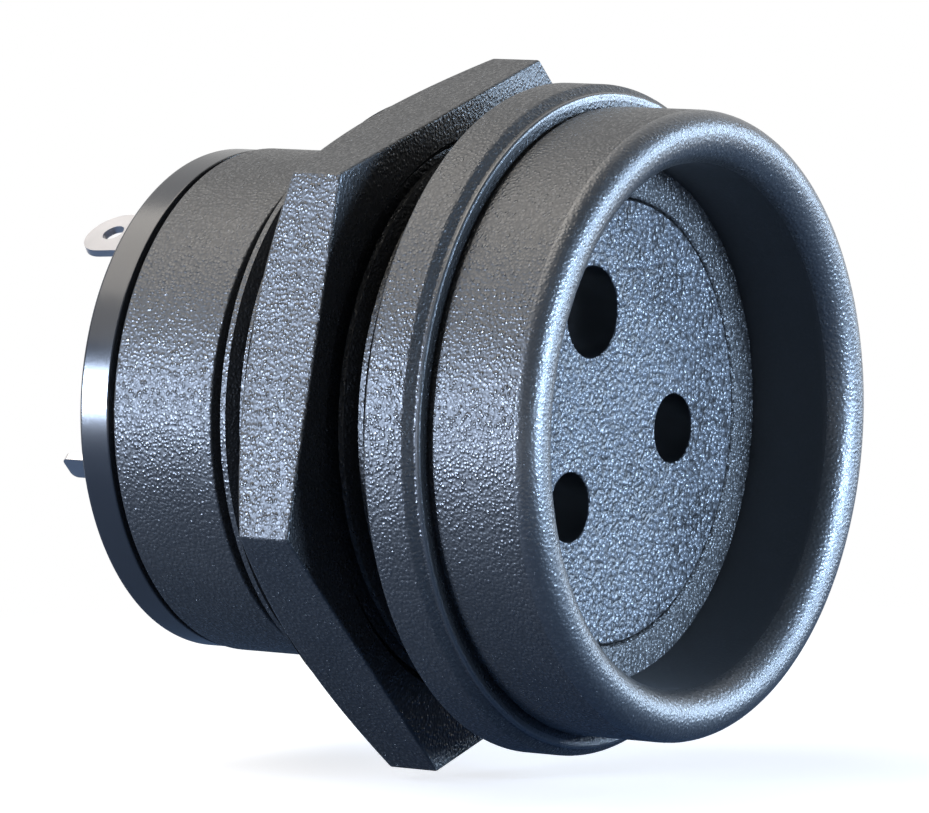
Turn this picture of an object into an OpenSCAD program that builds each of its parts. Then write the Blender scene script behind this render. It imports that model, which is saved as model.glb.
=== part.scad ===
// Panel-mounting circular power connector, socket half: a bell-mouthed moulded shell with a
// flange and a threaded barrel, a hexagon panel nut, and an insert that holds three socket contacts.
// Millimetres. The connector's axis is Y, the mouth faces -Y and +Z is up.
// The origin is on the axis at the flange's rear face, where the panel sits.

/* [Flange] */
// How far the flange stands out from the bell, on the radius
flange_step = 1.1; // [0.8:0.05:4]
// Length of the flange's full-diameter rim
flange_rim = 2.3; // [1:0.1:5]
// Chamfer between the rim and the narrow land in front of it
flange_chamfer = 0.4; // [0.1:0.05:0.7]
// Length of the narrow land at the front edge of the flange
flange_land = 0.3; // [0.1:0.05:1]

/* [Bell] */
// Thickness of the bell's wall
bell_wall = 2.7; // [1.5:0.05:5]
// Distance from the panel seat to the crown of the lip
bell_len = 9.2; // [7.5:0.1:20]
// Radius of the lip's outer edge
lip_outer = 1.2; // [0.3:0.1:1.4]
// Radius of the lip's inner edge, which leads the plug in
lip_inner = 1.5; // [0.5:0.1:3]
// Width of the ledge between the plug's bore and the insert's nose
ledge_w = 1.85; // [0.8:0.05:3]
// Depth of the insert's face below the crown of the lip
plug_depth = 5.6; // [4:0.1:9]
// Depth of the fine groove between the bell and the flange
bell_groove = 0.2; // [0.1:0.05:0.5]

/* [Barrel] */
// Outside diameter of the thread
thread_d = 28; // [24:0.5:36]
// Depth of the thread
thread_depth = 0.8; // [0.4:0.05:1.4]
// Distance from the panel seat to the rear end of the thread
thread_end = 11; // [9:0.1:20]
// Width of the relief groove behind the thread
relief_w = 1.05; // [0.5:0.05:3]
// Depth of the relief groove below the skirt
relief_depth = 0.7; // [0.1:0.05:0.8]
// How far the skirt lies below the thread's root, so that the nut passes over it
skirt_pass = 0.15; // [0.1:0.05:1]
// Thickness of the skirt's wall
skirt_wall = 1.3; // [1:0.05:2.5]
// Length of the plain skirt behind the relief groove
skirt_len = 6.1; // [4:0.1:12]
// Edge break on the thread; the skirt and the rim behind it have half as much
edge_break = 0.25; // [0.1:0.05:0.4]

/* [Panel nut] */
// Wall of the nut between its bore and the middle of a flat
nut_wall = 1.95; // [1.2:0.05:5]
// Thickness of the nut
nut_t = 4; // [2:0.1:6]
// Gap between the flange and the nut, which takes the panel
nut_gap = 4; // [1:0.1:5]
// Angle of the chamfer that takes the corners off the nut's rear face
nut_chamfer_angle = 24; // [15:1:35]
// Countersink round the nut's threaded bore
nut_countersink = 0.4; // [0.2:0.05:0.8]
// Turn of the nut from a flat-topped position
nut_turn = 15.3; // [0:0.1:60]
// Running clearance between the barrel and the nut, on the radius
thread_clear = 0.05; // [0.02:0.01:0.1]

/* [Contact insert] */
// Step between the insert's body and its nose, which stops behind the ledge
nose_step = 0.4; // [0.3:0.05:1.5]
// Length of the nose, and thickness of the ledge round it
nose_len = 2.5; // [1:0.1:4]
// Width of the key that stops the insert turning
key_w = 2.4; // [1:0.1:5]
// Height of the key above the insert's body
key_h = 0.5; // [0.2:0.05:0.8]
// Length of the key
key_len = 1.8; // [1:0.1:2]
// Clearance round seated pieces, on the radius
seat_clear = 0.05; // [0.02:0.01:0.1]
// Turn of the earth contact from the top, towards -X
insert_turn = 18.6; // [0:0.1:60]
// Angle from the earth contact to each power contact
contact_spread = 116.5; // [100:0.5:130]

/* [Rear insulator] */
// How far the insulator's smooth rim lies below the skirt, on the radius
rear_inset = 0.1; // [0:0.05:0.8]
// Thickness of the rim
rear_t = 2.25; // [1:0.05:5]
// Length of the spigot inside the skirt
spigot_len = 4; // [3:0.1:6]
// Radius of the rim's rear edge
rear_edge = 0.2; // [0.1:0.05:0.8]
// Width of the raised border round the rear face
rear_border = 1.6; // [1:0.1:2.5]
// Depth of the floor inside the border
rear_recess = 0.8; // [0.2:0.1:0.9]

/* [Earth contact] */
// Distance from the edge of the insert's nose in to the earth contact's axis
earth_edge = 5.3; // [4.8:0.05:6.3]
// Diameter of the earth contact's bore
earth_bore_d = 3.3; // [2.4:0.1:4]
// Diameter of the earth contact's shank
earth_shank_d = 3.6; // [2.8:0.1:4.4]
// Width of the earth contact's solder tag
earth_tag_w = 3.3; // [2:0.1:3.5]
// Diameter of the wire hole in the earth contact's solder tag
earth_eye_d = 1.2; // [0.6:0.1:1.6]
// Outward crank of the earth contact's solder tag
earth_crank = 3.3; // [1.5:0.05:4]
// Length over which the tag cranks outwards
earth_crank_len = 2.6; // [1.5:0.1:3.5]
// Inward lean of the tag over its last stretch
earth_lean = 0.2; // [0:0.1:1.4]
// Reach of the earth contact's solder tag behind the rear insulator
earth_reach = 6.3; // [6:0.1:11]
// Turn of the earth contact about its own axis, which faces its tag
earth_turn = 12; // [0:1:30]

/* [Power contacts] */
// Distance from the edge of the insert's nose in to the power contacts' axes
power_edge = 5.65; // [4.6:0.05:6.3]
// Diameter of the power contacts' bores
power_bore_d = 2.2; // [1.5:0.1:3]
// Diameter of the power contacts' shanks
power_shank_d = 2.6; // [2:0.1:3.4]
// Width of the power contacts' solder tags
power_tag_w = 1.5; // [1.2:0.1:2.4]
// Diameter of the wire holes in the power contacts' solder tags
power_eye_d = 0.8; // [0.5:0.1:1]
// Reach of the power contacts' solder tags behind the rear insulator
power_reach = 7.6; // [6:0.1:12]
// How far the power contacts' tags lie inwards of their contacts' axes
power_inset = 0.45; // [0:0.05:0.6]

/* [All contacts] */
// Depth of a contact's sleeve below the insert's face
entry_depth = 3; // [1.5:0.1:4]
// Wall of a contact's sleeve
sleeve_wall = 0.62; // [0.4:0.02:1]
// How far a contact's collar stands out from its sleeve
collar_step = 0.7; // [0.4:0.05:1]
// Thickness of a contact's collar, which sits in the rear insulator
collar_t = 1.5; // [0.8:0.1:2.5]
// Depth of a contact's bore
bore_depth = 12; // [8:0.5:14]
// Length of the slot that makes the sleeve springy
slot_len = 9; // [4:0.5:10]
// Width of the slot
slot_w = 0.5; // [0.3:0.1:0.8]
// Clearance round a shank in the rear insulator, on the radius
shank_clear = 0.1; // [0.05:0.01:0.2]
// Thickness of the solder tags
tag_t = 0.4; // [0.4:0.05:1]
// Length of round shank that shows behind the rear insulator
shank_show = 0.8; // [0.2:0.1:1.5]

/* [Hidden] */
$fn = 96;
eps = 0.01;
thread_r = thread_d / 2;
root_r = thread_r - thread_depth;
skirt_r = root_r - skirt_pass;
cavity_r = skirt_r - skirt_wall;
insert_r = cavity_r - seat_clear;
nose_r = insert_r - nose_step;
nose_hole_r = nose_r + seat_clear;
bore_r = nose_hole_r + ledge_w;
bell_r = bore_r + bell_wall;
flange_r = bell_r + flange_step;
land_r = flange_r - flange_chamfer;
rear_r = skirt_r - rear_inset;
nut_bore_r = thread_r + thread_clear;
nut_flat_r = nut_bore_r + nut_wall;
nut_corner_r = nut_flat_r * 2 / sqrt(3);
lip_lead = min(lip_inner, bell_wall - lip_outer);
flange_len = flange_rim + flange_chamfer + flange_land;
skirt_end = thread_end + relief_w + skirt_len;
face_s = bell_len - plug_depth;
shoulder_s = face_s - nose_len;
insert_end_s = spigot_len - skirt_end;
rear_end_s = -skirt_end - rear_t;
floor_s = rear_end_s + rear_recess;
shank_end_s = rear_end_s - shank_show;
earth_end_s = rear_end_s - earth_reach;
power_end_s = rear_end_s - power_reach;
sleeve_front_s = face_s - entry_depth;
earth_pitch = nose_r - earth_edge;
power_pitch = nose_r - power_edge;
earth_angle = 90 + insert_turn;
power_angles = [earth_angle - contact_spread, earth_angle + contact_spread];
plastic = [0.16, 0.17, 0.19];
gloss = [0.05, 0.05, 0.06];
silver = [0.82, 0.82, 0.80];

// Turns a shape drawn along +Z, towards the mouth, into the connector's own frame
module along_axis() {
    rotate([90, 0, 0]) children();
}

// Section rectangle from radius r0 to r1 and from s0 to s1 along the axis
module band(r0, r1, s0, s1) {
    translate([r0, s0]) square([r1 - r0, s1 - s0]);
}

// What a round of radius r takes off a section corner at [x, y]; out gives the corner's two directions
module corner_waste(x, y, r, out) {
    translate([x, y]) scale_signs(out) difference() {
        translate([-r, -r]) square(r + eps);
        translate([-r, -r]) circle(r);
    }
}

// Mirrors a 2D shape so that its +X and +Y point as the two signs say
module scale_signs(out) {
    mirror([out[0] < 0 ? 1 : 0, 0]) mirror([0, out[1] < 0 ? 1 : 0]) children();
}

// What a 45 degree edge break of size c takes off a section corner at [x, y]
module edge_waste(x, y, c, out) {
    translate([x, y]) scale_signs(out) polygon([[-c, eps], [eps, eps], [eps, -c]]);
}

// Wall of the bell with the rounded lip that leads the plug in
module bell_section() {
    difference() {
        band(bore_r, bell_r, 0, bell_len);
        corner_waste(bell_r, bell_len, lip_outer, [1, 1]);
        corner_waste(bore_r, bell_len, lip_lead, [-1, 1]);
    }
}

// Flange rim, its chamfer and the narrow land in front
module flange_section() {
    difference() {
        union() {
            band(cavity_r, flange_r, 0, flange_rim + flange_chamfer);
            band(cavity_r, land_r, 0, flange_len);
        }
        edge_waste(flange_r, flange_rim + flange_chamfer, flange_chamfer, [1, 1]);
    }
}

// Barrel with its thread diameter, relief groove and plain skirt
module barrel_section() {
    difference() {
        band(cavity_r, thread_r, -thread_end, 0);
        edge_waste(thread_r, -thread_end, edge_break, [1, -1]);
    }
    band(cavity_r, skirt_r - relief_depth, -thread_end - relief_w, -thread_end);
    difference() {
        band(cavity_r, skirt_r, -skirt_end, -thread_end - relief_w);
        edge_waste(skirt_r, -thread_end - relief_w, edge_break / 2, [1, 1]);
        edge_waste(skirt_r, -skirt_end, edge_break / 2, [1, -1]);
    }
}

module receptacle_shell() {
    color(plastic) along_axis() difference() {
        rotate_extrude() difference() {
            union() {
                bell_section();
                flange_section();
                barrel_section();
                band(nose_hole_r, bore_r + eps, shoulder_s, face_s);
            }
            band(0, cavity_r, -skirt_end, shoulder_s);
            band(bell_r - bell_groove, bell_r + eps, flange_len, flange_len + bell_groove);
        }
        keyway();
    }
}

// Slot in the rear of the shell that takes the insert's key
module keyway() {
    w = key_w + 2 * seat_clear;
    translate([-w / 2, 0, -skirt_end - eps])
        cube([w, insert_r + key_h + seat_clear, skirt_end + insert_end_s + key_len + seat_clear + eps]);
}

// Puts a shape at a contact's place, with its own +X pointing away from the connector's axis
module at_contact(angle, pitch) {
    rotate([0, 0, angle]) translate([pitch, 0, 0]) children();
}

// Hole through the insert that takes a contact's sleeve from the rear and its pin from the front
module contact_cavity(bore_d) {
    hole_r = bore_d / 2 + sleeve_wall + seat_clear;
    translate([0, 0, insert_end_s - eps]) cylinder(r = hole_r, h = face_s - insert_end_s + 2 * eps);
}

module contact_insert() {
    color(plastic) along_axis() difference() {
        union() {
            rotate_extrude() {
                band(0, nose_r, shoulder_s - eps, face_s);
                band(0, insert_r, insert_end_s, shoulder_s);
            }
            translate([-key_w / 2, insert_r - key_h, insert_end_s]) cube([key_w, 2 * key_h, key_len]);
        }
        at_contact(earth_angle, earth_pitch) contact_cavity(earth_bore_d);
        for (angle = power_angles)
            at_contact(angle, power_pitch) contact_cavity(power_bore_d);
    }
}

// Stepped hole through the rear insulator: the seat of a contact's collar and the way out for its shank
module shank_hole(bore_d, shank_d) {
    seat_r = bore_d / 2 + sleeve_wall + collar_step + seat_clear;
    translate([0, 0, rear_end_s - eps])
        cylinder(d = shank_d + 2 * shank_clear, h = rear_t + spigot_len + 2 * eps);
    translate([0, 0, insert_end_s - collar_t]) cylinder(r = seat_r, h = collar_t + eps);
}

module rear_insulator() {
    color(gloss) along_axis() difference() {
        rotate_extrude() difference() {
            union() {
                band(0, rear_r, rear_end_s, -skirt_end);
                band(0, insert_r, -skirt_end - eps, insert_end_s);
            }
            corner_waste(rear_r, rear_end_s, rear_edge, [1, -1]);
            edge_waste(rear_r, -skirt_end, edge_break / 2, [1, 1]);
            band(0, rear_r - rear_border, rear_end_s - eps, floor_s);
        }
        at_contact(earth_angle, earth_pitch) shank_hole(earth_bore_d, earth_shank_d);
        for (angle = power_angles)
            at_contact(angle, power_pitch) shank_hole(power_bore_d, power_shank_d);
    }
}

// Hexagon with its rear corners turned off and a countersunk bore
module panel_nut() {
    chamfer_fall = (nut_corner_r - nut_flat_r) * tan(nut_chamfer_angle);
    color(plastic) along_axis() translate([0, 0, -nut_gap - nut_t]) difference() {
        intersection() {
            rotate([0, 0, nut_turn]) cylinder(r = nut_corner_r, h = nut_t, $fn = 6);
            rotate_extrude() polygon([[0, 0], [nut_flat_r, 0], [nut_corner_r + eps, chamfer_fall],
                                      [nut_corner_r + eps, nut_t], [0, nut_t]]);
        }
        rotate_extrude() union() {
            band(0, nut_bore_r, -eps, nut_t + eps);
            polygon([[0, -eps], [nut_bore_r + nut_countersink + eps, -eps], [nut_bore_r, nut_countersink],
                     [0, nut_countersink]]);
            polygon([[0, nut_t + eps], [nut_bore_r + nut_countersink + eps, nut_t + eps],
                     [nut_bore_r, nut_t - nut_countersink], [0, nut_t - nut_countersink]]);
        }
    }
}

// Turned part of a contact: slotted sleeve, collar and shank on one axis
module turned_contact(bore_d, shank_d) {
    sleeve_r = bore_d / 2 + sleeve_wall;
    difference() {
        union() {
            translate([0, 0, insert_end_s]) cylinder(r = sleeve_r, h = sleeve_front_s - insert_end_s);
            translate([0, 0, insert_end_s - collar_t]) cylinder(r = sleeve_r + collar_step, h = collar_t);
            translate([0, 0, shank_end_s]) cylinder(d = shank_d, h = insert_end_s - shank_end_s);
        }
        translate([0, 0, sleeve_front_s - bore_depth]) cylinder(d = bore_d, h = bore_depth + eps);
        translate([-slot_w / 2, -sleeve_r - eps, sleeve_front_s - slot_len])
            cube([slot_w, 2 * sleeve_r + 2 * eps, slot_len + eps]);
    }
}

// Flat tag that runs straight back from the shank, with softened corners and a wire hole
module straight_tag(w, eye_d) {
    soft = w / 4;
    tip_s = power_end_s;
    difference() {
        translate([tag_t / 2 - power_inset, 0, 0]) rotate([0, -90, 0]) linear_extrude(tag_t) union() {
            translate([tip_s + soft, -w / 2]) square([rear_end_s - tip_s - soft, w]);
            translate([tip_s, soft - w / 2]) square([2 * soft, w - 2 * soft]);
            for (side = [-1, 1])
                translate([tip_s + soft, side * (w / 2 - soft)]) circle(soft);
        }
        translate([-power_inset - tag_t, 0, tip_s + w]) rotate([0, 90, 0]) cylinder(d = eye_d, h = 2 * tag_t);
    }
}

// Tag that cranks outwards behind the shank and then leans back in, with a round end and a wire hole
module cranked_tag(w, eye_d) {
    half = tag_t / 2;
    bend_s = shank_end_s - earth_crank_len;
    outer = earth_crank;
    tip = earth_crank - earth_lean;
    slope = earth_lean / (bend_s - earth_end_s);
    eye_s = earth_end_s + w / 2;
    difference() {
        intersection() {
            rotate([90, 0, 0]) translate([0, 0, -w / 2]) linear_extrude(w)
                polygon([[-half, rear_end_s], [half, rear_end_s],
                         [half, shank_end_s], [outer + half, bend_s], [tip + half, earth_end_s],
                         [tip - half, earth_end_s], [outer - half - slope * half, bend_s - half],
                         [-half, shank_end_s - half]]);
            translate([outer + w, 0, 0]) rotate([0, -90, 0]) linear_extrude(outer + 2 * w) union() {
                translate([eye_s, -w / 2]) square([-eye_s, w]);
                translate([eye_s, 0]) circle(w / 2);
            }
        }
        translate([tip + slope * (eye_s - earth_end_s), 0, eye_s])
            rotate([0, 90 + atan(slope), 0]) translate([0, 0, -w]) cylinder(d = eye_d, h = 2 * w);
    }
}

module earth_contact() {
    color(silver) along_axis() at_contact(earth_angle, earth_pitch) rotate([0, 0, earth_turn]) union() {
        turned_contact(earth_bore_d, earth_shank_d);
        cranked_tag(earth_tag_w, earth_eye_d);
    }
}

module power_contact(angle) {
    color(silver) along_axis() at_contact(angle, power_pitch) union() {
        turned_contact(power_bore_d, power_shank_d);
        straight_tag(power_tag_w, power_eye_d);
    }
}

module power_contact_a() {
    power_contact(power_angles[0]);
}

module power_contact_b() {
    power_contact(power_angles[1]);
}

receptacle_shell();
contact_insert();
rear_insulator();
panel_nut();
earth_contact();
power_contact_a();
power_contact_b();
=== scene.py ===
import math

import bmesh
import bpy
from mathutils import Matrix, Vector


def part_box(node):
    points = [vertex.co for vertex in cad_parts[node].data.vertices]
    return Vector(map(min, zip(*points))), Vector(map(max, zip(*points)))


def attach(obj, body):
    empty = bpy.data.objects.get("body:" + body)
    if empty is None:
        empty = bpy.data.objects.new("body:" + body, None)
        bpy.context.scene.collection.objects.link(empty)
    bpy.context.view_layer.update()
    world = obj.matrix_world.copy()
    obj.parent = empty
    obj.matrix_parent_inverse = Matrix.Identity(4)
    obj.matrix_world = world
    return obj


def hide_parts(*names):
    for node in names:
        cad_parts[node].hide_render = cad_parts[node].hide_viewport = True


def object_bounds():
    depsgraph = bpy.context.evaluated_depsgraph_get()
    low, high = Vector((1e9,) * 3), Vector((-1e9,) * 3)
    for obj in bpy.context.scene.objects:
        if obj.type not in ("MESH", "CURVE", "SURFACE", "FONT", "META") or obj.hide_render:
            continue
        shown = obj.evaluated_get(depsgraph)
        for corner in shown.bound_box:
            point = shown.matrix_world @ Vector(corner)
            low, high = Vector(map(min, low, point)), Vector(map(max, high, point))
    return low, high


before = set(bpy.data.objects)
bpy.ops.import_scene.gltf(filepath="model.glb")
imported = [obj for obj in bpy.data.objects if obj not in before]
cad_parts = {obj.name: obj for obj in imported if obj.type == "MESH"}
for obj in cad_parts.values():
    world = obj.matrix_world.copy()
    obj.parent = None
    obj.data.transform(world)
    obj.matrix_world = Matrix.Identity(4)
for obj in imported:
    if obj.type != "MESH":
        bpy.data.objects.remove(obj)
cad_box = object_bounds()

# Receptacle shell: one black thermoplastic moulding with the bell mouth, flange, barrel and rear skirt.
# Its section is turned round the connector's axis. The mould was spark-eroded, which leaves a fine
# sandy grain all over the outside, while the plug's bore is drawn smooth off its core.
mm = 0.001
axis = Vector((0, 1, 0))
turn_steps = 192
merge_within = 1e-7
shell_low, shell_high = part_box("receptacle_shell")
insert_low, insert_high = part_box("contact_insert")
flange_r, crown_y, skirt_end_y = shell_high.x, shell_low.y, shell_high.y
face_y = insert_low.y
land_r = flange_r - 0.40 * mm
bell_r = flange_r - 1.10 * mm
bore_r = bell_r - 2.70 * mm
nose_hole_r = bore_r - 1.85 * mm
ledge_rear_y = face_y + 2.50 * mm
rim_front_y, land_front_y = -2.30 * mm, -3.00 * mm
rim_chamfer = 0.40 * mm
groove_r, groove_front_y = bell_r - 0.20 * mm, land_front_y - 0.30 * mm
core_r = 12.80 * mm
barrel_end_y = 11.00 * mm
relief_r, relief_end_y = 12.35 * mm, 12.05 * mm
skirt_r = 13.05 * mm
cavity_r = 11.75 * mm
mouth_rounding, bell_rounding = 1.50 * mm, 1.20 * mm
ledge_rounding, land_rounding = 0.26 * mm, 0.18 * mm
edge_rounding, groove_rounding, chamfer_rounding = 0.12 * mm, 0.10 * mm, 0.06 * mm


def turned(section, steps):
    """Turns a closed section round the axis, from corners of (radius, place along the axis, rounding)."""
    fewest_facets, facets_a_mm = 3, 8
    bm = bmesh.new()
    corners = [bm.verts.new((r, y, 0)) for r, y, _ in section]
    bm.faces.new(corners)
    for corner, (_, _, rounding) in zip(corners, section):
        if rounding:
            facets = max(fewest_facets, round(facets_a_mm * rounding / mm))
            bmesh.ops.bevel(bm, geom=[corner], offset=rounding, offset_type="OFFSET", affect="VERTICES",
                            segments=facets, profile=0.5, material=-1)
    bmesh.ops.delete(bm, geom=bm.faces[:], context="FACES_ONLY")
    bmesh.ops.spin(bm, geom=bm.verts[:] + bm.edges[:], cent=(0, 0, 0), axis=axis, angle=2 * math.pi,
                   steps=steps, use_merge=True)
    bmesh.ops.remove_doubles(bm, verts=bm.verts[:], dist=merge_within)
    bmesh.ops.recalc_face_normals(bm, faces=bm.faces[:])
    return bm


def piece_from(bm, name, material, body, sharp=12):
    """Makes the finished mesh an object that rides on a body and takes the finish of a slot.

    Edges that turn by more than sharp, in degrees, show crisp.
    """
    mesh = bpy.data.meshes.new(name)
    bm.to_mesh(mesh)
    bm.free()
    mesh.shade_smooth()
    mesh.set_sharp_from_angle(angle=math.radians(sharp))
    mesh.materials.append(material)
    piece = bpy.data.objects.new(name, mesh)
    bpy.context.scene.collection.objects.link(piece)
    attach(piece, body)
    return piece


class Wire:
    """A shader socket that takes part in plain arithmetic, each step of which adds a Math node."""

    def __init__(self, tree, socket=None):
        self.tree = tree
        self.socket = socket

    def node(self, kind, settings, inputs):
        made = self.tree.nodes.new(kind)
        for name, value in settings.items():
            setattr(made, name, value)
        for name, value in inputs.items():
            if isinstance(value, Wire):
                self.tree.links.new(value.socket, made.inputs[name])
            else:
                made.inputs[name].default_value = value
        return Wire(self.tree, made.outputs[0])

    def out(self, name):
        return Wire(self.tree, self.socket.node.outputs[name])

    def into(self, node_name, socket_name):
        self.tree.links.new(self.socket, self.tree.nodes[node_name].inputs[socket_name])

    def math(self, operation, left, right=0.0):
        return self.node("ShaderNodeMath", {"operation": operation}, {0: left, 1: right})

    def noise(self, scale, detail):
        """Soft clouds at this place, with scale of them to the metre."""
        clouds = self.node("ShaderNodeTexNoise", {}, {"Vector": self, "Scale": scale, "Detail": detail})
        return clouds.out("Fac")

    def ramp(self, low, high):
        """A soft step from 0 where this value is low to 1 where it is high."""
        return self.node("ShaderNodeMapRange", {"interpolation_type": "SMOOTHSTEP"},
                         {"Value": self, "From Min": low, "From Max": high})

    def blend(self, low, high, clamp=True):
        """A colour between low and high, by this share. The numbers are the Mix node's two colour sockets."""
        return self.node("ShaderNodeMix", {"data_type": "RGBA", "clamp_factor": clamp},
                         {"Factor": self, 6: low, 7: high}).out(2)

    def __add__(self, other):
        return self.math("ADD", self, other)

    __radd__ = __add__

    def __sub__(self, other):
        return self.math("SUBTRACT", self, other)

    def __rsub__(self, other):
        return self.math("SUBTRACT", other, self)

    def __mul__(self, other):
        return self.math("MULTIPLY", self, other)

    __rmul__ = __mul__

    def __lt__(self, other):
        return self.math("LESS_THAN", self, other)


def shaded(name):
    """A new material with its shader ready, and the wire that its nodes start from."""
    material = bpy.data.materials.new(name)
    material.use_nodes = True
    return material, Wire(material.node_tree)


def grained_plastic(name, pit_colour, crest_colour, grain, roughness, depth, grain_at, shine_at=None):
    """Plastic with the sandy grain of a spark-eroded mould, its crests paler and smoother than its pits.

    grain_at and shine_at give, from the distance across and along the axis, the share of grain (1 is full;
    above 1 it also paints the crests paler, at 0 only the pit colour shows) and of the shine where it is
    rubbed.
    """
    dome_foot, dome_top, lowest_dome = 0.85, 0.05, 0.3
    sand_pace, sand_detail, sand_share = 1.3, 0.0, 0.6
    cloud_scale, cloud_detail, cloud_share = 240.0, 3.0, 0.3
    palest_from, palest_to = 0.15, 0.80
    crest_gloss, cloud_gloss, rubbed_gloss, rubbed_coat = 0.36, 0.10, 0.28, 0.9
    most_height = 2.5
    material, wire = shaded(name)
    place = wire.node("ShaderNodeTexCoord", {}, {}).out("Object")
    spot = wire.node("ShaderNodeSeparateXYZ", {}, {"Vector": place})
    along = spot.out("Y")
    across = wire.math("SQRT", spot.out("X") * spot.out("X") + spot.out("Z") * spot.out("Z"))
    share = grain_at(across, along)
    grit = wire.node("ShaderNodeTexVoronoi", {"feature": "F1"}, {"Vector": place, "Scale": 1 / grain})
    lot = wire.node("ShaderNodeSeparateColor", {}, {"Color": grit.out("Color")}).out("Red")
    dome = grit.out("Distance").ramp(dome_foot, dome_top)
    peak = dome * (lowest_dome + (1 - lowest_dome) * lot)
    sand = place.noise(sand_pace / grain, sand_detail)
    cloud = place.noise(cloud_scale, cloud_detail)
    pale = wire.node("ShaderNodeMapRange", {}, {"Value": peak + cloud_share * cloud,
                                                "From Min": palest_from, "From Max": palest_to})
    (pale * share).blend(pit_colour, crest_colour, clamp=False).into("Principled BSDF", "Base Color")
    height = (peak + sand_share * sand) * wire.math("MINIMUM", share, most_height)
    bump = wire.node("ShaderNodeBump", {}, {"Strength": 1.0, "Distance": depth, "Height": height})
    bump.into("Principled BSDF", "Normal")
    rough = roughness - crest_gloss * peak * wire.math("MINIMUM", share, 1.0) + cloud_gloss * (cloud - 0.5)
    skin = material.node_tree.nodes["Principled BSDF"].inputs
    skin["Specular IOR Level"].default_value = 1.0
    if shine_at:
        shine = shine_at(across, along)
        rough = rough * (1 - rubbed_gloss * shine)
        (rubbed_coat * shine).into("Principled BSDF", "Coat Weight")
        skin["Coat Roughness"].default_value = 0.42
        skin["Coat IOR"].default_value = 1.8
    rough.into("Principled BSDF", "Roughness")
    return material


bore_skin, face_skin, land_skin = 0.05 * mm, 0.02 * mm, 0.30 * mm
ledge_depth, lip_depth = 0.30 * mm, 1.10 * mm
# The ledge's gain coarsens its grain and paints its colour paler, as painted light matching the insert's
# face.
bore_wear, lip_wear, land_wear, ledge_grain_and_painted_light = 0.9, 0.2, 0.5, 4.0
lip_shine = 0.6


def shell_bore(across, along):
    """The plug's bore, before the insert's face."""
    return (across < bore_r + bore_skin) * (along < face_y - face_skin)


def shell_ledge(across, along):
    """The ledge round the insert's face."""
    return (across < bore_r + bore_skin) * ((along < face_y + ledge_depth) - (along < face_y - face_skin))


def shell_lip(across, along):
    """The rounded lip round the mouth."""
    return (1 - shell_bore(across, along)) * (along < crown_y + lip_depth)


def shell_land(across, along):
    """The front edge of the flange's land."""
    return (along < land_front_y + land_rounding) * (1 - (across < bell_r + land_skin))


def shell_grain(across, along):
    """Coarse, and painted paler as painted light, on the ledge; drawn smooth in the bore; worn on the lip and
    the land's edge.
    """
    return (1 - bore_wear * shell_bore(across, along) + ledge_grain_and_painted_light * shell_ledge(across, along)
            - lip_wear * shell_lip(across, along) - land_wear * shell_land(across, along))


def shell_shine(across, along):
    """Rubbed to a shine on the lip and on the land's edge."""
    return lip_shine * shell_lip(across, along) + shell_land(across, along)


black_pit, black_crest = (0.016, 0.016, 0.016, 1), (0.042, 0.041, 0.040, 1)
black_grain, black_roughness = 0.19 * mm, 0.50
shell_plastic = grained_plastic("shell_plastic", black_pit, black_crest, black_grain, black_roughness,
                                depth=0.036 * mm, grain_at=shell_grain, shine_at=shell_shine)
shell_section = [
    (nose_hole_r, face_y, ledge_rounding), (bore_r, face_y, 0),
    (bore_r, crown_y, mouth_rounding), (bell_r, crown_y, bell_rounding),
    (bell_r, groove_front_y, groove_rounding), (groove_r, groove_front_y, 0), (groove_r, land_front_y, 0),
    (land_r, land_front_y, land_rounding), (land_r, rim_front_y - rim_chamfer, chamfer_rounding),
    (flange_r, rim_front_y, edge_rounding), (flange_r, 0, edge_rounding),
    (core_r, 0, 0), (core_r, barrel_end_y, 0), (relief_r, barrel_end_y, 0), (relief_r, relief_end_y, 0),
    (skirt_r, relief_end_y, edge_rounding), (skirt_r, skirt_end_y, edge_rounding),
    (cavity_r, skirt_end_y, 0), (cavity_r, ledge_rear_y, 0), (nose_hole_r, ledge_rear_y, 0)]
shell_bm = turned(shell_section, turn_steps)
shell = piece_from(shell_bm, "shell_moulding", shell_plastic, "connector")
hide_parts("receptacle_shell")

# Barrel thread: a right-hand screw thread moulded on the barrel, in one with the shell.
# One pitch of its profile is spun up the axis, cut square at both ends and closed on the barrel's core.
thread_r, root_r, pitch = 14.00 * mm, 13.00 * mm, 1.20 * mm
crest_flat, flank = 0.30 * mm, 0.30 * mm
thread_from_y = -1.22 * mm
thread_front_y, thread_rear_y = -0.05 * mm, barrel_end_y - 0.01 * mm
thread_seat_r = core_r - 0.10 * mm
thread_merge = 0.002 * mm
thread_turns, steps_a_turn = 12, 120


def edges_in(parts):
    """The edges among the parts that an operator made."""
    return [part for part in parts if isinstance(part, bmesh.types.BMEdge)]


def verts_in(parts):
    """The corners among the parts that an operator made."""
    return [part for part in parts if isinstance(part, bmesh.types.BMVert)]


def cut_off(bm, place, outward):
    """Takes away what lies outward of a plane, and gives the edges of the cut."""
    whole = bm.verts[:] + bm.edges[:] + bm.faces[:]
    cut = bmesh.ops.bisect_plane(bm, geom=whole, dist=merge_within, plane_co=place, plane_no=outward,
                                 clear_outer=True)
    return edges_in(cut["geom_cut"])


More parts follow.
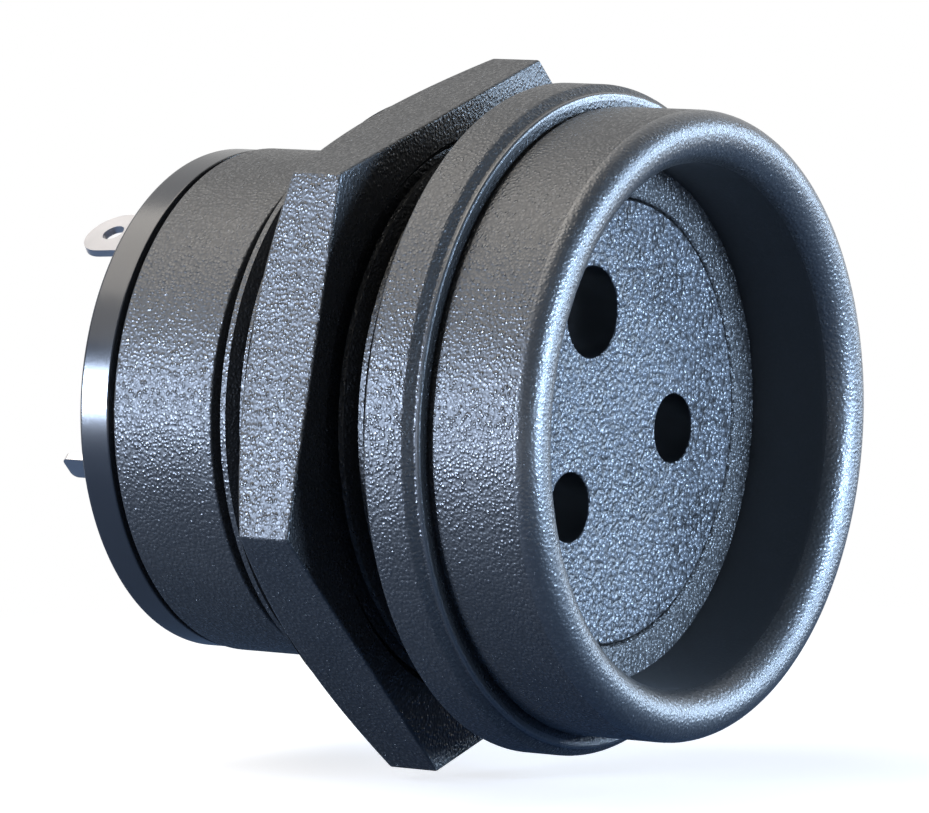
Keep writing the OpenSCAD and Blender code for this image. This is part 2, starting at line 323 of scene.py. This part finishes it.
thread_bm = bmesh.new()
profile = [(root_r, 0), (thread_r, flank), (thread_r, flank + crest_flat), (root_r, 2 * flank + crest_flat),
           (root_r, pitch)]
line = [thread_bm.verts.new((r, thread_from_y + along, 0)) for r, along in profile]
for low, high in zip(line, line[1:]):
    thread_bm.edges.new((low, high))
bmesh.ops.spin(thread_bm, geom=thread_bm.verts[:] + thread_bm.edges[:], cent=(0, 0, 0), axis=axis,
               dvec=axis * (pitch / steps_a_turn), angle=2 * math.pi * thread_turns,
               steps=steps_a_turn * thread_turns)
bmesh.ops.remove_doubles(thread_bm, verts=thread_bm.verts[:], dist=thread_merge)
thread_ends = []
for end_y, way in ((thread_front_y, -1), (thread_rear_y, 1)):
    rim = cut_off(thread_bm, axis * end_y, axis * way)
    grown = bmesh.ops.extrude_edge_only(thread_bm, edges=rim)["geom"]
    for vert in verts_in(grown):
        inward = Vector((vert.co.x, 0, vert.co.z)).normalized() * thread_seat_r
        vert.co = (inward.x, end_y, inward.z)
    thread_ends += edges_in(grown)
bmesh.ops.bridge_loops(thread_bm, edges=thread_ends)
bmesh.ops.recalc_face_normals(thread_bm, faces=thread_bm.faces[:])
piece_from(thread_bm, "barrel_thread", shell_plastic, "connector", sharp=25)

# Contact insert: a moulded insulator pushed in from the rear until its shoulder meets the shell's ledge.
# Its grained face shows inside the bell, with one straight hole for each contact.
insert_r, nose_r = 11.70 * mm, 11.30 * mm
insert_end_y = insert_high.y
nose_rounding, entry_rounding = 0.28 * mm, 0.12 * mm
grained_depth = 0.08 * mm
earth_turn, earth_pitch_r, earth_entry_r = 108.6, 6.00 * mm, 2.32 * mm
power_turns, power_pitch_r, power_entry_r = (-7.9, 225.1), 5.65 * mm, 1.77 * mm
entry_radii = (earth_entry_r, power_entry_r, power_entry_r)
pitch_radii = (earth_pitch_r, power_pitch_r, power_pitch_r)
hole_sides, rim_facets = 72, 3
contact_places = []
for turn, pitch_r in zip((earth_turn, *power_turns), pitch_radii):
    contact_places.append((pitch_r * math.cos(math.radians(turn)), pitch_r * math.sin(math.radians(turn))))


def stepped_wall(bm, loop, centre, steps):
    """Carries a round loop of edges along the axis through steps of (radius, place along the axis)."""
    radius, place = steps[0]
    for next_radius, next_place in steps[1:]:
        grown = bmesh.ops.extrude_edge_only(bm, edges=loop)["geom"]
        verts = verts_in(grown)
        loop = edges_in(grown)
        share = next_radius / radius
        bmesh.ops.scale(bm, vec=(share, 1, share), verts=verts,
                        space=Matrix.Translation((-centre[0], 0, -centre[1])))
        bmesh.ops.translate(bm, vec=axis * (next_place - place), verts=verts)
        radius, place = next_radius, next_place
    return loop


def bored_plug(outside, holes):
    """A round plug with holes through it: stepped walls, outside and in the holes, between two flat faces."""
    bm = bmesh.new()
    ends = []
    walls = [((0, 0), outside, turn_steps)] + [(centre, steps, hole_sides) for centre, steps in holes]
    for centre, steps, sides in walls:
        radius, place = steps[0]
        before = set(bm.edges)
        bmesh.ops.create_circle(bm, radius=radius, segments=sides, cap_ends=False,
                                matrix=Matrix.Translation((centre[0], place, centre[1]))
                                @ Matrix.Rotation(math.pi / 2, 4, "X"))
        ends.append([e for e in bm.edges if e not in before])
    bmesh.ops.triangle_fill(bm, edges=[e for loop in ends for e in loop], use_beauty=True, normal=-axis)
    rear_ends = [stepped_wall(bm, loop, centre, steps) for loop, (centre, steps, _) in zip(ends, walls)]
    bmesh.ops.triangle_fill(bm, edges=[e for loop in rear_ends for e in loop], use_beauty=True, normal=axis)
    bmesh.ops.recalc_face_normals(bm, faces=bm.faces[:])
    return bm


def soften(bm, rounding, place, radius=None):
    """Rounds the crisp rims that lie at one place along the axis, or only the one of a given radius."""
    crisp_from = math.radians(50)
    off_plane, off_radius = 0.001 * mm, 0.02 * mm
    rims = []
    for edge in bm.edges:
        on_plane = all(abs(v.co.y - place) < off_plane for v in edge.verts)
        if on_plane and len(edge.link_faces) == 2 and edge.calc_face_angle() > crisp_from:
            reach = max(math.hypot(v.co.x, v.co.z) for v in edge.verts)
            if radius is None or abs(reach - radius) < off_radius:
                rims.append(edge)
    bmesh.ops.bevel(bm, geom=rims, offset=rounding, offset_type="OFFSET", affect="EDGES",
                    segments=rim_facets, profile=0.5, material=-1)


def insert_grain_and_hole_shade(across, along):
    """Full on the face; none in the holes and behind it, where only the dark pit colour is left as painted
    shade.
    """
    return along < face_y + grained_depth


# Painted light: the insert's crests are far paler than the shell's, standing in for the front lamp's light.
insert_pit_and_hole_shade, insert_crest_painted_lit = (0.012, 0.012, 0.013, 1), (0.230, 0.237, 0.252, 1)
insert_plastic = grained_plastic("insert_plastic", insert_pit_and_hole_shade, insert_crest_painted_lit, grain=0.26 * mm, roughness=0.44,
                                 depth=0.140 * mm, grain_at=insert_grain_and_hole_shade)
insert_bm = bored_plug(
    [(nose_r, face_y), (nose_r, ledge_rear_y), (insert_r, ledge_rear_y), (insert_r, insert_end_y)],
    [(centre, [(entry_r, face_y), (entry_r, insert_end_y)])
     for centre, entry_r in zip(contact_places, entry_radii)])
soften(insert_bm, nose_rounding, face_y, nose_r)
soften(insert_bm, entry_rounding, face_y)
insert = piece_from(insert_bm, "insert_moulding", insert_plastic, "connector")
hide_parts("contact_insert")

# Rear insulator: a smooth glossy plastic plug that closes the skirt and clamps the contacts' collars.
# Its rim stands behind the skirt on a short neck, with softened edges, and its floor is sunk
# inside a border.
rear_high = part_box("rear_insulator")[1]
rear_r, rear_end_y = rear_high.x, rear_high.y
border_r, floor_y = rear_r - 1.60 * mm, rear_end_y - 0.80 * mm
neck_r, neck_end_y = rear_r - 0.45 * mm, skirt_end_y + 0.40 * mm
collar_end_y = insert_end_y + 1.50 * mm
earth_collar_r, earth_shank_r = 3.02 * mm, 1.90 * mm
power_collar_r, power_shank_r = 2.47 * mm, 1.40 * mm
collar_radii = (earth_collar_r, power_collar_r, power_collar_r)
shank_radii = (earth_shank_r, power_shank_r, power_shank_r)
rim_rounding, border_rounding, neck_rounding = 0.20 * mm, 0.15 * mm, 0.10 * mm
rear_dark, rear_light = (0.016, 0.017, 0.020, 1), (0.030, 0.031, 0.034, 1)
rear_roughness, flow_roughness = 0.16, 0.10
flow_scale, flow_detail = 260.0, 4.0
haze_scale, haze_detail, haze_depth = 3000.0, 2.0, 0.01 * mm
rear_plastic, gloss = shaded("rear_plastic")
gloss_place = gloss.node("ShaderNodeTexCoord", {}, {}).out("Object")
flow = gloss_place.noise(flow_scale, flow_detail)
haze = gloss_place.noise(haze_scale, haze_detail)
flow.blend(rear_dark, rear_light).into("Principled BSDF", "Base Color")
(rear_roughness + flow_roughness * flow).into("Principled BSDF", "Roughness")
gloss_bump = gloss.node("ShaderNodeBump", {},
                        {"Strength": 0.25, "Distance": haze_depth, "Height": haze + flow})
gloss_bump.into("Principled BSDF", "Normal")
rear_plastic.node_tree.nodes["Principled BSDF"].inputs["Specular IOR Level"].default_value = 1.0
rear_bm = bored_plug(
    [(insert_r, insert_end_y), (insert_r, skirt_end_y), (neck_r, skirt_end_y), (neck_r, neck_end_y),
     (rear_r, neck_end_y), (rear_r, rear_end_y), (border_r, rear_end_y), (border_r, floor_y)],
    [(centre, [(collar_r, insert_end_y), (collar_r, collar_end_y),
               (shank_r, collar_end_y), (shank_r, floor_y)])
     for centre, collar_r, shank_r in zip(contact_places, collar_radii, shank_radii)])
soften(rear_bm, rim_rounding, rear_end_y, rear_r)
soften(rear_bm, border_rounding, rear_end_y, border_r)
soften(rear_bm, neck_rounding, neck_end_y, rear_r)
rear = piece_from(rear_bm, "rear_plug", rear_plastic, "connector")
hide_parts("rear_insulator")

# Socket contacts: turned brass sleeves plated with silver, each flattened into a solder tag at the rear.
# They go into the insert from the rear, and their collars are held by the rear insulator. The sleeves
# inside the insert are painted a darker silver, as painted shade in the holes, and the tags are bright.
silver_dark, silver_light = (0.62, 0.59, 0.59, 1), (0.84, 0.82, 0.82, 1)
# The sleeves' darker silver is painted shade in the insert's holes.
sleeve_painted_shade = (0.32, 0.31, 0.30, 1)
tag_roughness, tarnish_roughness, brush_roughness, sleeve_roughness = 0.22, 0.16, 0.05, 0.40
tarnish_scale, tarnish_detail = 420.0, 4.0
brush_scale, brush_detail, brush_depth = 5200.0, 2.0, 0.01 * mm
contact_metal, silver = shaded("contact_metal")
silver_place = silver.node("ShaderNodeTexCoord", {}, {}).out("Object")
tarnish = silver_place.noise(tarnish_scale, tarnish_detail)
brush = silver_place.noise(brush_scale, brush_detail)
# Inside the insert the silver is painted darker, as painted shade in the holes, and made rougher.
sunk = silver.node("ShaderNodeSeparateXYZ", {}, {"Vector": silver_place}).out("Y") < insert_end_y
sunk.blend(tarnish.blend(silver_dark, silver_light), sleeve_painted_shade).into("Principled BSDF", "Base Color")
silver_roughness = (tag_roughness + tarnish_roughness * tarnish + brush_roughness * brush
                    + sleeve_roughness * sunk)
silver_roughness.into("Principled BSDF", "Roughness")
silver_bump = silver.node("ShaderNodeBump", {},
                          {"Strength": 0.3, "Distance": brush_depth, "Height": brush})
silver_bump.into("Principled BSDF", "Normal")
contact_metal.node_tree.nodes["Principled BSDF"].inputs["Metallic"].default_value = 1.0
for contact in ("earth_contact", "power_contact_a", "power_contact_b"):
    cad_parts[contact].data.materials.clear()
    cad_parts[contact].data.materials.append(contact_metal)

# Panel nut: a moulded hexagon nut of the same grained plastic, run up the thread behind the panel.
# A round blank with a turned chamfer on its rear face is cut to six flats, and its edges are softened.
nut_low, nut_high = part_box("panel_nut")
nut_front_y, nut_rear_y = nut_low.y, nut_high.y
nut_flat_r, blank_r, nut_bore_r, countersink = 16.00 * mm, 18.60 * mm, 14.05 * mm, 0.40 * mm
countersink_r = nut_bore_r + countersink
nut_turn, chamfer_turn = 15.3, 24
chamfer_front_y = nut_rear_y - (blank_r - nut_flat_r) * math.tan(math.radians(chamfer_turn))
nut_rounding = 0.14 * mm
outer_from_r, crisp_from_turn = 15.50 * mm, 35
nut_bore_skin = 0.02 * mm


def nut_grain(across, along):
    """Full on the outside, and drawn smooth in the bore."""
    return 1 - bore_wear * (across < nut_bore_r + nut_bore_skin)


nut_plastic = grained_plastic("nut_plastic", black_pit, black_crest, black_grain, black_roughness,
                              depth=0.039 * mm, grain_at=nut_grain)
nut_bm = turned([
    (countersink_r, nut_front_y, 0), (blank_r, nut_front_y, 0), (blank_r, chamfer_front_y, 0),
    (nut_flat_r, nut_rear_y, 0), (countersink_r, nut_rear_y, 0), (nut_bore_r, nut_rear_y - countersink, 0),
    (nut_bore_r, nut_front_y + countersink, 0)], turn_steps)
for side in range(6):
    turn = math.radians(nut_turn + 30 + 60 * side)
    outward = Vector((math.cos(turn), 0, math.sin(turn)))
    flat = cut_off(nut_bm, outward * nut_flat_r, outward)
    bmesh.ops.contextual_create(nut_bm, geom=flat)
bmesh.ops.recalc_face_normals(nut_bm, faces=nut_bm.faces[:])
nut_edges = [e for e in nut_bm.edges
             if len(e.link_faces) == 2 and e.calc_face_angle() > math.radians(crisp_from_turn)
             and min(math.hypot(v.co.x, v.co.z) for v in e.verts) > outer_from_r]
bmesh.ops.bevel(nut_bm, geom=nut_edges, offset=nut_rounding, offset_type="OFFSET", affect="EDGES",
                segments=rim_facets, profile=0.5, material=-1)
nut = piece_from(nut_bm, "hexagon_nut", nut_plastic, "nut")
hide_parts("panel_nut")

# Studio floor: a white sheet under the connector. The camera sees it white with the connector's soft
# shadow, and reflections see it white beyond its dull middle, so the undersides stay dark.
sheet_reach, sheet_drop = 6.0, 0.6 * mm
mirror_from, mirror_full = 0.07, 0.20
shadow_to, white_from = 0.03, 0.08
floor_bm = bmesh.new()
bmesh.ops.create_grid(floor_bm, x_segments=1, y_segments=1, size=sheet_reach,
                      matrix=Matrix.Translation((0, 0, cad_box[0].z - sheet_drop)))
floor_mesh = bpy.data.meshes.new("floor")
floor_bm.to_mesh(floor_mesh)
floor_bm.free()
floor = bpy.data.objects.new("floor", floor_mesh)
bpy.context.scene.collection.objects.link(floor)
white_sheet, sheet = shaded("white_sheet")
white_sheet.node_tree.nodes.remove(white_sheet.node_tree.nodes["Principled BSDF"])
ray = sheet.node("ShaderNodeLightPath", {}, {})
sheet_place = sheet.node("ShaderNodeTexCoord", {}, {}).out("Object")
away = sheet.node("ShaderNodeVectorMath", {"operation": "LENGTH"}, {0: sheet_place}).out("Value")
mirrored = sheet.math("MAXIMUM", ray.out("Is Glossy Ray"), ray.out("Is Transmission Ray"))
seen = sheet.math("MAXIMUM", ray.out("Is Camera Ray"), mirrored * away.ramp(mirror_from, mirror_full))
dull = sheet.node("ShaderNodeBsdfDiffuse", {}, {"Color": (0.10, 0.15, 0.24, 1)})
paper = sheet.node("ShaderNodeBsdfDiffuse", {}, {"Color": (0.80, 0.80, 0.80, 1)})
half_glow = sheet.node("ShaderNodeEmission", {}, {"Color": (1.0, 0.96, 0.91, 1), "Strength": 0.64})
full_glow = sheet.node("ShaderNodeEmission", {}, {"Strength": 1.0})
near_sheet = sheet.node("ShaderNodeAddShader", {}, {0: paper, 1: half_glow})
whole_sheet = sheet.node("ShaderNodeMixShader", {},
                         {0: away.ramp(shadow_to, white_from), 1: near_sheet, 2: full_glow})
sheet.node("ShaderNodeMixShader", {}, {0: seen, 1: dull, 2: whole_sheet}).into("Material Output", "Surface")
floor_mesh.materials.append(white_sheet)

# Studio light: cool soft boxes at the left behind the connector, in front of its mouth and at its right,
# which draw the sheen of the sides, the insert's face and the lip, and a warmer one overhead. The room is
# white behind the connector and dim on the camera's side.
backdrop_way = (0.83, 0.56, 0)
backdrop_from, backdrop_full = 0.1, 0.6
world = bpy.data.worlds.new("studio")
bpy.context.scene.world = world
world.use_nodes = True
sky = Wire(world.node_tree)
world.node_tree.nodes.remove(world.node_tree.nodes["Background"])
sky_ray = sky.node("ShaderNodeLightPath", {}, {})
dim_room = sky.node("ShaderNodeBackground", {}, {"Color": (0.70, 0.85, 1.0, 1), "Strength": 0.07})
white_room = sky.node("ShaderNodeBackground", {}, {"Strength": 1.0})
toward = sky.node("ShaderNodeTexCoord", {}, {}).out("Generated")
behind = sky.node("ShaderNodeVectorMath", {"operation": "DOT_PRODUCT"}, {0: toward, 1: backdrop_way})
backdrop = behind.out("Value").ramp(backdrop_from, backdrop_full)
sky_mirrored = sky.math("MAXIMUM", sky_ray.out("Is Glossy Ray"), sky_ray.out("Is Transmission Ray"))
in_view = sky.math("MAXIMUM", sky_ray.out("Is Camera Ray"), sky_mirrored * backdrop)
whole_room = sky.node("ShaderNodeMixShader", {}, {0: in_view, 1: dim_room, 2: white_room})
whole_room.into("World Output", "Surface")


def soft_box(name, place, width, height, watts, colour):
    """A rectangular lamp that faces the middle of the connector."""
    lamp = bpy.data.lights.new(name, "AREA")
    lamp.shape = "RECTANGLE"
    lamp.size, lamp.size_y = width, height
    lamp.energy = watts
    lamp.color = colour
    holder = bpy.data.objects.new(name, lamp)
    holder.location = place
    holder.rotation_euler = (-Vector(place)).to_track_quat("-Z", "Y").to_euler()
    bpy.context.scene.collection.objects.link(holder)


soft_box("left_low_box", (-0.370, 0.250, 0.020), 0.10, 0.13, 3.7, (0.60, 0.74, 1.0))
soft_box("left_high_box", (-0.310, 0.250, 0.240), 0.20, 0.16, 0.1, (1.0, 0.96, 0.90))
soft_box("front_box", (0.060, -0.440, 0.050), 0.20, 0.10, 3.8, (0.50, 0.70, 1.0))
soft_box("right_front_box", (0.230, -0.380, 0.040), 0.14, 0.22, 0.5, (0.52, 0.72, 1.0))
soft_box("right_box", (0.370, -0.240, 0.060), 0.10, 0.26, 1.4, (0.56, 0.75, 1.0))
soft_box("overhead_box", (-0.120, 0.200, 0.420), 0.46, 0.40, 1.55, (1.0, 0.94, 0.86))

# Camera: a long lens on the photograph's side, a little above the connector's axis.
# Its place and aim were fitted to the outlines of the flange, the bell and the nut.
camera_place, camera_aim = (-0.33698, -0.22245, 0.03875), Vector((0.8246, 0.5578, -0.0941))
camera_data = bpy.data.cameras.new("camera")
camera_data.sensor_fit = "HORIZONTAL"
camera_data.sensor_width = 36.0
camera_data.lens = 310.0
camera = bpy.data.objects.new("camera", camera_data)
camera.location = camera_place
camera.rotation_euler = camera_aim.to_track_quat("-Z", "Y").to_euler()
bpy.context.scene.collection.objects.link(camera)
bpy.context.scene.camera = camera
bpy.context.scene.view_settings.view_transform = "Standard"
